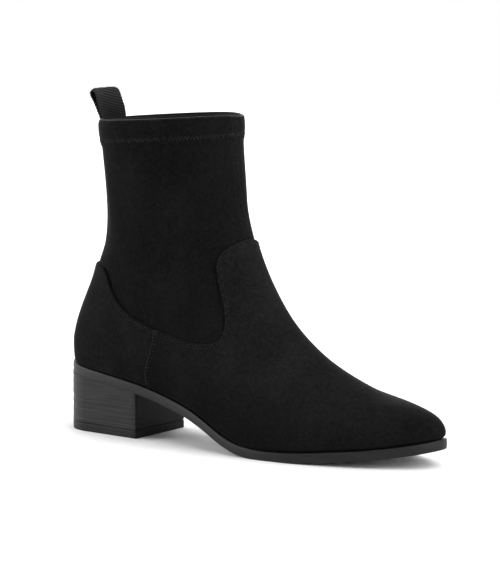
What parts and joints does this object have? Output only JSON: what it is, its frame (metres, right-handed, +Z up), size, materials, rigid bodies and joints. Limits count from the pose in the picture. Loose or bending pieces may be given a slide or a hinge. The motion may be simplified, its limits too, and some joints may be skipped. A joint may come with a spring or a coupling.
{
  "type": "ankle boot",
  "caption": "Pull-on ankle boot for the right foot with a hollow suede upper, overlaid vamp and heel counter, a back pull loop, a long sole and a stacked block heel.",
  "frame": {"origin": "centre of the bounding box in plan, on the floor under the sole", "axes": "+X from the heel to the toe, +Y to the inner side of the foot, +Z up"},
  "size_m": [0.259, 0.0802, 0.2114],
  "materials": {
    "suede": "matte napped suede",
    "tape": "ribbed woven tape",
    "footbed": "smooth satin",
    "sole": "satin, finely brushed edge",
    "stack": "satin, with fine level stack lines",
    "lift": "matte"
  },
  "bodies": {
    "root": {"upper": "suede", "vamp": "suede", "counter": "suede", "pull_loop": "tape", "insole": "footbed", "outsole": "sole", "heel": "stack", "top_lift": "lift"}
  },
  "joints": []
}
